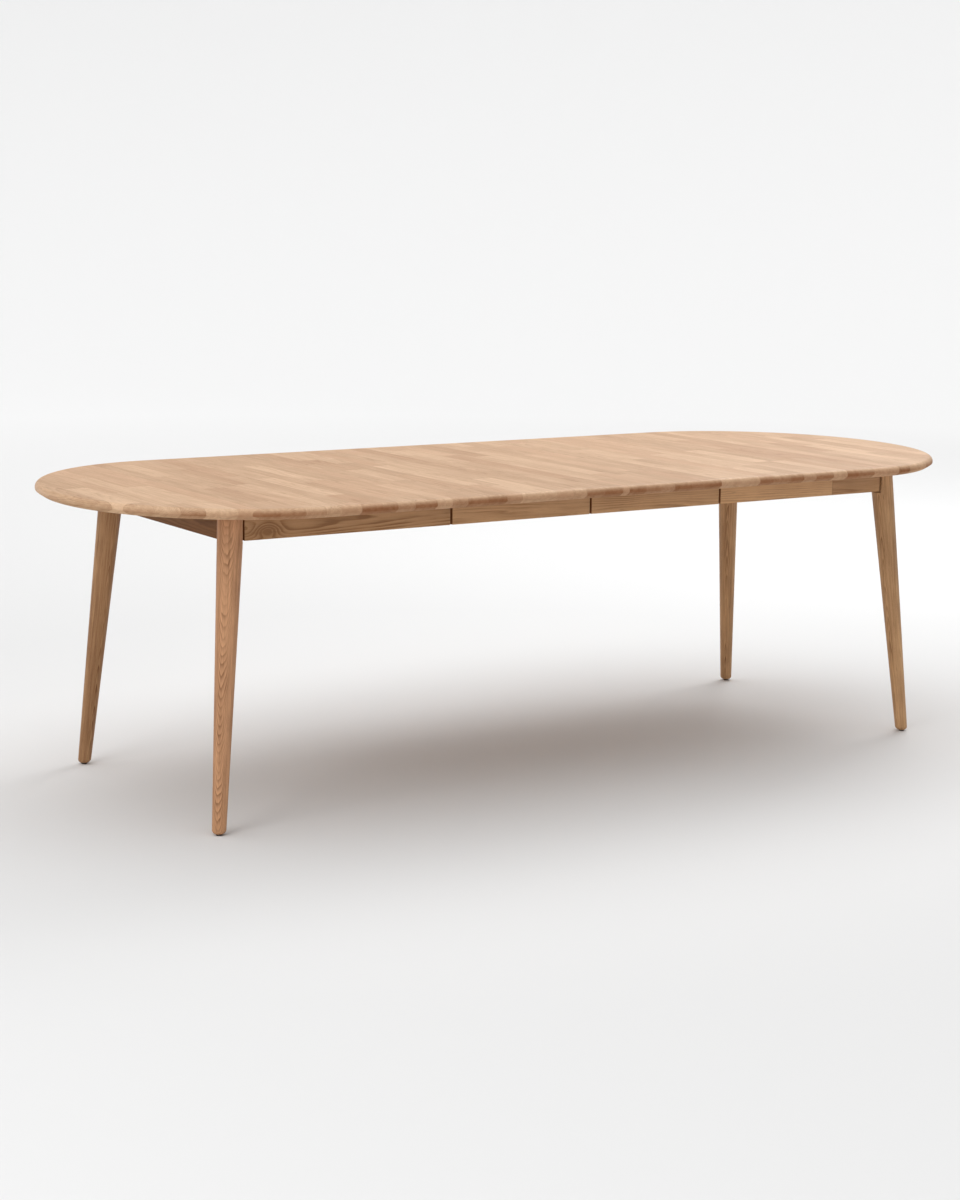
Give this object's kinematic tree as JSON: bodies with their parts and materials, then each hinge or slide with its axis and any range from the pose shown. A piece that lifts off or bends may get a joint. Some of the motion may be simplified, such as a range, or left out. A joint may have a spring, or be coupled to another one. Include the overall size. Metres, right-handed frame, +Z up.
{
  "type": "extendable dining table",
  "caption": "Oval wooden extension dining table with two insert leaves, splayed round legs, aprons and telescopic wooden runners.",
  "frame": {"origin": "on the floor, under the middle of the extended table where the two leaves meet", "axes": "+Z up, X along the table's length with the right half on +X, Y across the table with the front on -Y"},
  "size_m": [2.5, 1, 0.74],
  "materials": {
    "oak_top": "oiled oak staves, satin",
    "oak_frame": "oiled solid oak, satin",
    "beech": "plain planed hardwood",
    "zinc_steel": "zinc plated",
    "dark_plastic": "matt dark plastic"
  },
  "bodies": {
    "left_half": {"left_back_apron": "oak_frame", "left_back_corner_block": "beech", "left_back_dowel": "beech", "left_back_flange_nut": "zinc_steel", "left_back_glide": "dark_plastic", "left_back_leg": "oak_frame", "left_back_leg_bolt": "zinc_steel", "left_back_runner": "beech", "left_back_runner_stop": "beech", "left_cross_rail": "beech", "left_end_rail": "oak_frame", "left_front_apron": "oak_frame", "left_front_corner_block": "beech", "left_front_dowel": "beech", "left_front_flange_nut": "zinc_steel", "left_front_glide": "dark_plastic", "left_front_leg": "oak_frame", "left_front_leg_bolt": "zinc_steel", "left_front_runner": "beech", "left_front_runner_stop": "beech", "left_top": "oak_top"},
    "right_half": {"right_back_apron": "oak_frame", "right_back_corner_block": "beech", "right_back_dowel": "beech", "right_back_flange_nut": "zinc_steel", "right_back_glide": "dark_plastic", "right_back_leg": "oak_frame", "right_back_leg_bolt": "zinc_steel", "right_back_runner": "beech", "right_back_runner_stop": "beech", "right_cross_rail": "beech", "right_end_rail": "oak_frame", "right_front_apron": "oak_frame", "right_front_corner_block": "beech", "right_front_dowel": "beech", "right_front_flange_nut": "zinc_steel", "right_front_glide": "dark_plastic", "right_front_leg": "oak_frame", "right_front_leg_bolt": "zinc_steel", "right_front_runner": "beech", "right_front_runner_stop": "beech", "right_top": "oak_top"},
    "middle_runners": {"middle_back_left_stop": "beech", "middle_back_right_stop": "beech", "middle_back_runner": "beech", "middle_front_left_stop": "beech", "middle_front_right_stop": "beech", "middle_front_runner": "beech"},
    "right_leaf": {"right_leaf_back_apron": "oak_frame", "right_leaf_back_dowel": "beech", "right_leaf_back_glue_block": "beech", "right_leaf_front_apron": "oak_frame", "right_leaf_front_dowel": "beech", "right_leaf_front_glue_block": "beech", "right_leaf_panel": "oak_top"},
    "left_leaf": {"left_leaf_back_apron": "oak_frame", "left_leaf_back_glue_block": "beech", "left_leaf_front_apron": "oak_frame", "left_leaf_front_glue_block": "beech", "left_leaf_panel": "oak_top"}
  },
  "joints": [
    {"name": "pull_apart", "type": "slide", "parent": "left_half", "child": "right_half", "axis": [1, 0, 0], "range_m": [0, 0.04]},
    {"name": "runner_float", "type": "slide", "parent": "left_half", "child": "middle_runners", "axis": [1, 0, 0], "range_m": [0, 0.02]},
    {"name": "right_leaf_lift", "type": "slide", "parent": "middle_runners", "child": "right_leaf", "axis": [0, 0, 1], "range_m": [0, 0.15]},
    {"name": "left_leaf_lift", "type": "slide", "parent": "right_leaf", "child": "left_leaf", "axis": [0, 0, 1], "range_m": [0, 0.15]}
  ],
  "couplings": [
    {"joint": "runner_float", "follows": "pull_apart", "ratio": 0.5}
  ]
}
